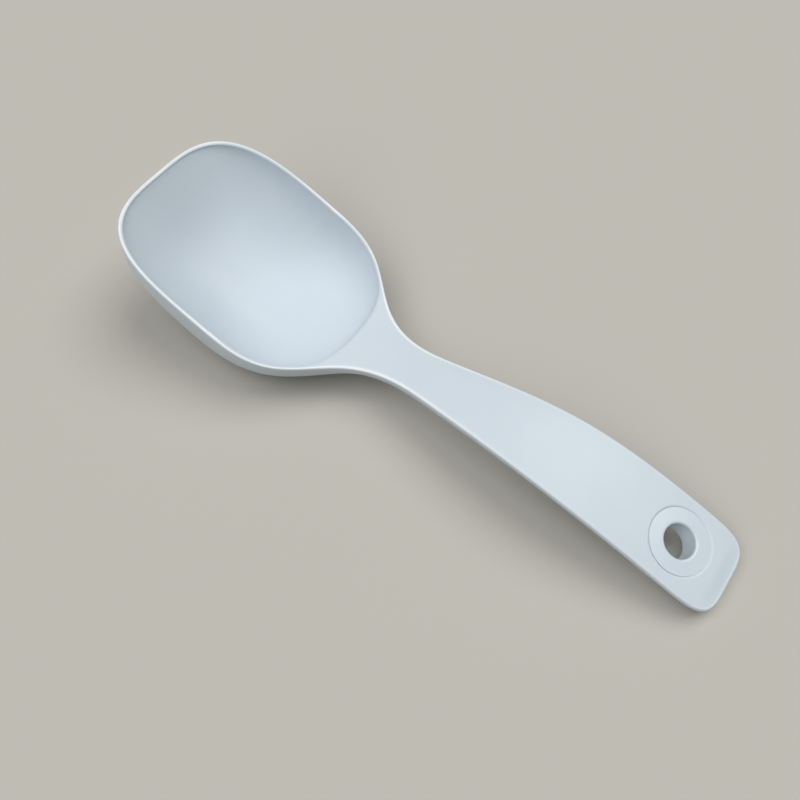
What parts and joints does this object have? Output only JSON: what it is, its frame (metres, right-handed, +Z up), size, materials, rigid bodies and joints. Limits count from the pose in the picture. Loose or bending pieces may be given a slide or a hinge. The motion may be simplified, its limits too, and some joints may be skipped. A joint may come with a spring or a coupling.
{
  "type": "serving spoon",
  "caption": "Soft-skinned serving spoon with a deep squarish bowl, an arched handle in line with it and a round hanging eye near the handle's end.",
  "frame": {"origin": "middle of the bounding box at its base, on the table that the spoon lies on", "axes": "+X along the spoon from the bowl's tip to the handle's end, +Z up out of the bowl, the spoon is symmetric about y = 0"},
  "size_m": [0.2, 0.0594, 0.0342],
  "materials": {
    "silicone_skin": "fine matt moulded silicone",
    "stiffening_core": "smooth moulded nylon, seen at the hanging eye"
  },
  "bodies": {
    "root": {"silicone_skin": "silicone_skin", "stiffening_core": "stiffening_core"}
  },
  "joints": []
}
